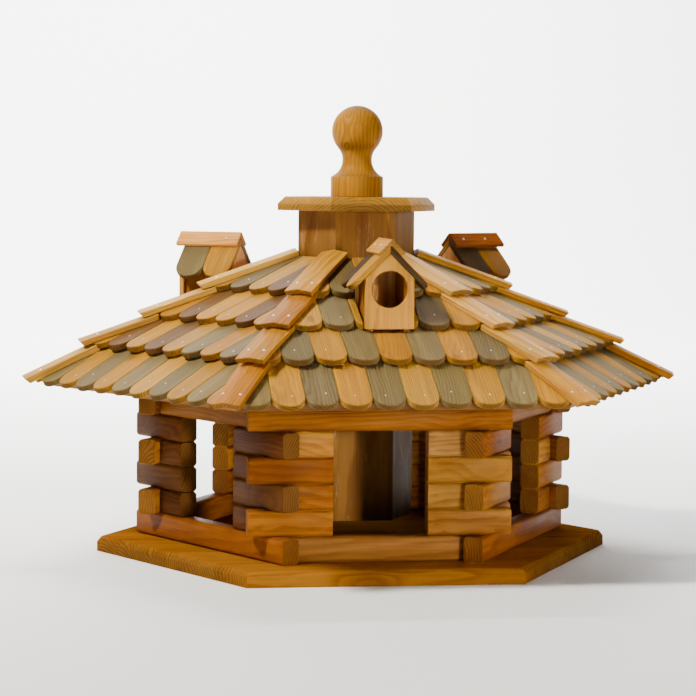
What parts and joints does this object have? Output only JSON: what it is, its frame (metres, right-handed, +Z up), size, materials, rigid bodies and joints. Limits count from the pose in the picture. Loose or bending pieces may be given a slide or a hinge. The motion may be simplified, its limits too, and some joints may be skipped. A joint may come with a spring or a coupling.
{
  "type": "bird feeder",
  "caption": "Hexagonal log-cabin bird feeder: open walls, shingled hip roof with small gabled dormers, a central seed silo and a lift-off lid with a ball finial.",
  "frame": {"origin": "centre of the floor's underside", "axes": "+Z up through the finial; -Y out through the front opening"},
  "size_m": [0.6614, 0.5916, 0.4423],
  "materials": {
    "floor_wood": "satin",
    "sill_wood": "satin",
    "log_wood": "satin",
    "plywood": "matte",
    "shingle_wood": "matte",
    "cap_wood": "satin",
    "silo_plywood": "satin",
    "dormer_wood": "satin",
    "nail_steel": "satin",
    "lid_wood": "satin",
    "plain_wood": "matte",
    "finial_wood": "satin"
  },
  "bodies": {
    "house": {"base_plate": "floor_wood", "sill_log_front": "sill_wood", "sill_log_front_right": "sill_wood", "sill_log_back_right": "sill_wood", "sill_log_back": "sill_wood", "sill_log_back_left": "sill_wood", "sill_log_front_left": "sill_wood", "wall_logs_front": "log_wood", "wall_logs_front_right": "log_wood", "wall_logs_back_right": "log_wood", "wall_logs_back": "log_wood", "wall_logs_back_left": "log_wood", "wall_logs_front_left": "log_wood", "upper_logs_front": "log_wood", "upper_logs_front_right": "log_wood", "upper_logs_back_right": "log_wood", "upper_logs_back": "log_wood", "upper_logs_back_left": "log_wood", "upper_logs_front_left": "log_wood", "roof_panel_front": "plywood", "roof_panel_front_right": "plywood", "roof_panel_back_right": "plywood", "roof_panel_back": "plywood", "roof_panel_back_left": "plywood", "roof_panel_front_left": "plywood", "shingles_front": "shingle_wood", "shingles_front_right": "shingle_wood", "shingles_back_right": "shingle_wood", "shingles_back": "shingle_wood", "shingles_back_left": "shingle_wood", "shingles_front_left": "shingle_wood", "hip_caps_front_right": "cap_wood", "hip_caps_right": "cap_wood", "hip_caps_back_right": "cap_wood", "hip_caps_back_left": "cap_wood", "hip_caps_left": "cap_wood", "hip_caps_front_left": "cap_wood", "silo": "silo_plywood", "dormer_board_front": "dormer_wood", "dormer_walls_front": "dormer_wood", "dormer_shingles_front": "shingle_wood", "dormer_ridge_front": "cap_wood", "dormer_board_right": "dormer_wood", "dormer_walls_right": "dormer_wood", "dormer_shingles_right": "shingle_wood", "dormer_ridge_right": "cap_wood", "dormer_board_left": "dormer_wood", "dormer_walls_left": "dormer_wood", "dormer_shingles_left": "shingle_wood", "dormer_ridge_left": "cap_wood", "hip_cap_nails": "nail_steel", "dormer_nails": "nail_steel"},
    "lid": {"lid_plate": "lid_wood", "lid_plug": "plain_wood", "lid_dowel": "plain_wood", "finial": "finial_wood"}
  },
  "joints": [
    {"name": "lid_lift", "type": "slide", "parent": "house", "child": "lid", "axis": [0, 0, 1], "range_m": [0, 0.08]}
  ]
}
